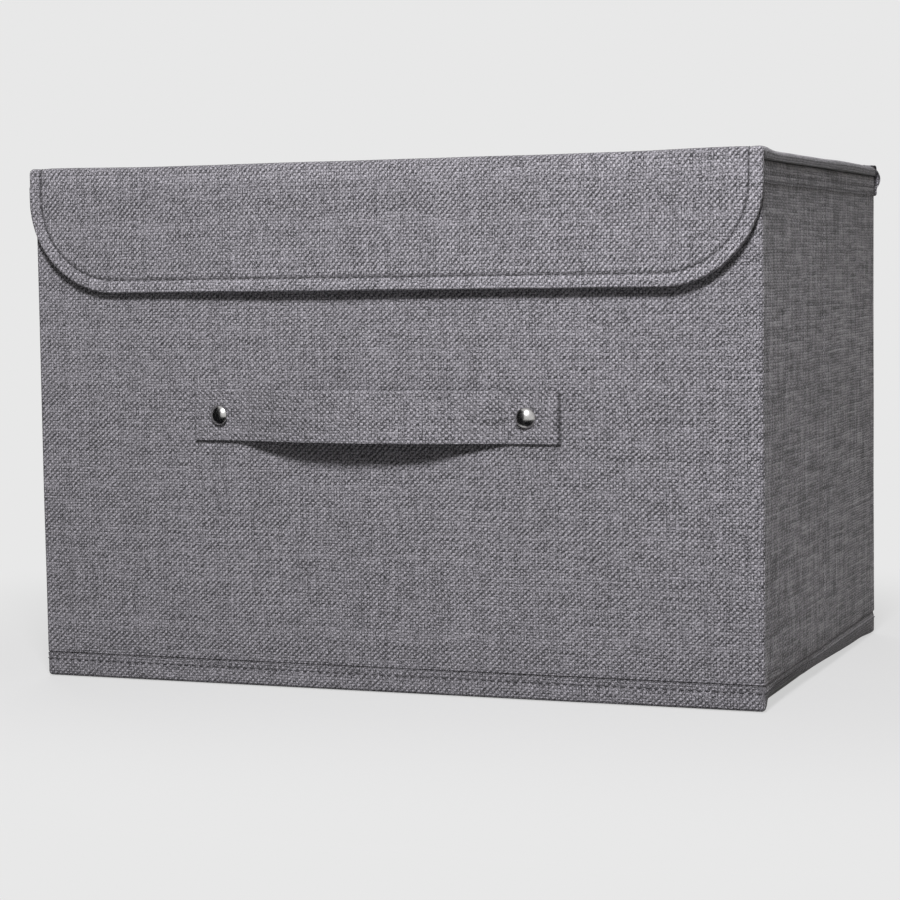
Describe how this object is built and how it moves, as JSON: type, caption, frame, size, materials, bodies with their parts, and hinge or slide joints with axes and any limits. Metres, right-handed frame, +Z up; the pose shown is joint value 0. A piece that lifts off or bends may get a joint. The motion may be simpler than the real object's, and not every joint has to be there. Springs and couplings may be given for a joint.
{
  "type": "fabric storage box",
  "caption": "Collapsible rectangular cloth storage box with stiffened folding walls, a hinged lid with a front flap, a riveted strap handle and a lift-up base board.",
  "frame": {"origin": "centre of the flat underside, on the surface the box stands on", "axes": "+Z up, -Y towards the front with the flap and strap, +X to the right as seen from the front"},
  "size_m": [0.3824, 0.2738, 0.26],
  "materials": {
    "cloth": "matte plain-weave melange grey",
    "lining": "matte non-woven",
    "board": "raw grey-brown board",
    "nickel": "polished nickel"
  },
  "bodies": {
    "rear_wall": {"rear_cover": "cloth", "rear_board": "board", "rear_lining": "lining", "bottom_cloth": "cloth", "lid_hinge_strip": "cloth"},
    "right_rear": {"right_rear_cover": "cloth", "right_rear_board": "board", "right_rear_lining": "lining"},
    "right_front": {"right_front_cover": "cloth", "right_front_board": "board", "right_front_lining": "lining"},
    "left_rear": {"left_rear_cover": "cloth", "left_rear_board": "board", "left_rear_lining": "lining"},
    "left_front": {"left_front_cover": "cloth", "left_front_board": "board", "left_front_lining": "lining"},
    "front_wall": {"front_cover": "cloth", "front_board": "board", "front_lining": "lining", "strap_handle": "cloth", "rivet_stud_left": "nickel", "rivet_stud_right": "nickel", "rivet_back_left": "nickel", "rivet_back_right": "nickel"},
    "base": {"base_cover": "lining", "base_board": "board", "pull_tab": "lining"},
    "lid": {"lid_cover": "cloth", "lid_board": "board", "lid_lining": "lining"},
    "flap": {"flap_cover": "cloth", "flap_board": "board", "flap_lining": "lining"}
  },
  "joints": [
    {"name": "wall_fold", "type": "hinge", "parent": "rear_wall", "child": "right_rear", "pos_m": [0.1861, 0.1201, 0], "axis": [0, 0, -1], "range_deg": [0, 88], "deforming": ["bottom_cloth"]},
    {"name": "left_rear_fold", "type": "hinge", "parent": "rear_wall", "child": "left_rear", "pos_m": [-0.1861, 0.1201, 0], "axis": [0, 0, 1], "range_deg": [0, 88]},
    {"name": "right_crease", "type": "hinge", "parent": "right_rear", "child": "right_front", "pos_m": [0.1907, -0.00205, 0], "axis": [0, 0, 1], "range_deg": [0, 176]},
    {"name": "left_crease", "type": "hinge", "parent": "left_rear", "child": "left_front", "pos_m": [-0.1907, -0.00205, 0], "axis": [0, 0, -1], "range_deg": [0, 176]},
    {"name": "front_corner_fold", "type": "hinge", "parent": "right_front", "child": "front_wall", "pos_m": [0.1861, -0.1242, 0], "axis": [0, 0, -1], "range_deg": [0, 88]},
    {"name": "base_lift", "type": "hinge", "parent": "rear_wall", "child": "base", "pos_m": [0, 0.1245, 0.0047], "axis": [-1, 0, 0], "range_deg": [0, 90]},
    {"name": "lid_hinge", "type": "hinge", "parent": "rear_wall", "child": "lid", "pos_m": [0, 0.1318, 0.26], "axis": [-1, 0, 0], "range_deg": [0, 230]},
    {"name": "flap_hinge", "type": "hinge", "parent": "lid", "child": "flap", "pos_m": [0, -0.1338, 0.26], "axis": [-1, 0, 0], "range_deg": [0, 90]}
  ],
  "couplings": [
    {"joint": "left_rear_fold", "follows": "wall_fold", "ratio": 1},
    {"joint": "right_crease", "follows": "wall_fold", "ratio": 2},
    {"joint": "left_crease", "follows": "wall_fold", "ratio": 2},
    {"joint": "front_corner_fold", "follows": "wall_fold", "ratio": 1}
  ]
}
